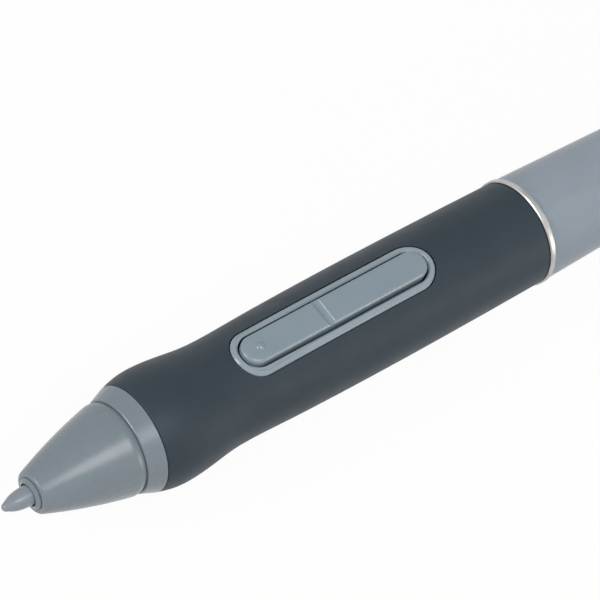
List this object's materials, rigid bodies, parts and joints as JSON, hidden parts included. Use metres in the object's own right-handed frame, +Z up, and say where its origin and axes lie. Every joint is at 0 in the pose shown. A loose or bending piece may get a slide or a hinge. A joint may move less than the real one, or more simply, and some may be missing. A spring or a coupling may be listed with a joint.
{
  "type": "graphics tablet pen",
  "caption": "Slim pen for a graphics tablet, with a flared soft grip, a two-way side switch, a pressure nib in a screwed cone and an eraser at the tail.",
  "frame": {"origin": "on the surface that the pen lies on, below the middle of its length", "axes": "+X along the pen from the nib to the eraser, +Z up with the side switch on top, +Y across it"},
  "size_m": [0.157, 0.015, 0.0152],
  "materials": {
    "nib": "satin, light lavender grey",
    "cone_grey": "satin moulded plastic",
    "grip_rubber": "matt soft-touch",
    "switch_grey": "satin moulded plastic",
    "trim_metal": "turned, bright chamfer",
    "clear_plastic": "clear, polished",
    "barrel_grey": "grey-blue, gloss",
    "eraser_plastic": "satin",
    "tube_plastic": "plain moulding",
    "holder_plastic": "natural moulding",
    "ferrite": "ground ferrite",
    "winding_wire": "enamelled copper",
    "sensor_plastic": "plain moulding",
    "pad_rubber": "conductive silicone",
    "ceramic": "fired ceramic",
    "contact_metal": "stamped contact",
    "dome_metal": "snap dome",
    "board_green": "solder mask",
    "chip_black": "moulded package",
    "chip_tan": "chip capacitors"
  },
  "bodies": {
    "pen": {"nose_cone": "cone_grey", "collar_ring": "cone_grey", "grip_sleeve": "grip_rubber", "front_tube": "tube_plastic", "trim_ring": "trim_metal", "barrel_sleeve": "clear_plastic", "barrel_tube": "barrel_grey", "tail_ring": "cone_grey", "switch_bezel": "switch_grey", "ferrite_core": "ferrite", "coil_winding": "winding_wire", "core_carrier": "sensor_plastic", "sensor_housing": "sensor_plastic", "pressure_pad": "pad_rubber", "sensor_disc": "ceramic", "sensor_clip": "contact_metal", "sensor_cap": "sensor_plastic", "chassis": "tube_plastic", "circuit_board": "board_green", "front_switch_base": "chip_black", "rear_switch_base": "chip_black", "front_switch_dome": "dome_metal", "rear_switch_dome": "dome_metal", "control_chip": "chip_black", "tuning_trimmer": "holder_plastic", "chip_parts": "chip_tan", "eraser_core": "ferrite", "eraser_winding": "winding_wire", "eraser_sensor": "sensor_plastic", "eraser_pad": "pad_rubber"},
    "nib": {"nib": "nib", "nib_holder": "holder_plastic"},
    "switch": {"side_switch": "switch_grey"},
    "eraser": {"eraser_tip": "eraser_plastic", "eraser_shaft": "holder_plastic"}
  },
  "joints": [
    {"name": "nib_press", "type": "slide", "parent": "pen", "child": "nib", "axis": [1, 0, 0], "range_m": [0, 0.0005], "stiffness_N_per_m": 200, "deforming": ["pressure_pad"]},
    {"name": "side_switch_rock", "type": "hinge", "parent": "pen", "child": "switch", "pos_m": [-0.03237, 0, 0.0122], "axis": [0, 1, 0], "range_deg": [-2, 2], "stiffness_Nm_per_rad": 0.05, "deforming": ["front_switch_dome", "rear_switch_dome"]},
    {"name": "eraser_press", "type": "slide", "parent": "pen", "child": "eraser", "axis": [-1, 0, 0], "range_m": [0, 0.0008], "stiffness_N_per_m": 200, "deforming": ["eraser_pad"]}
  ]
}
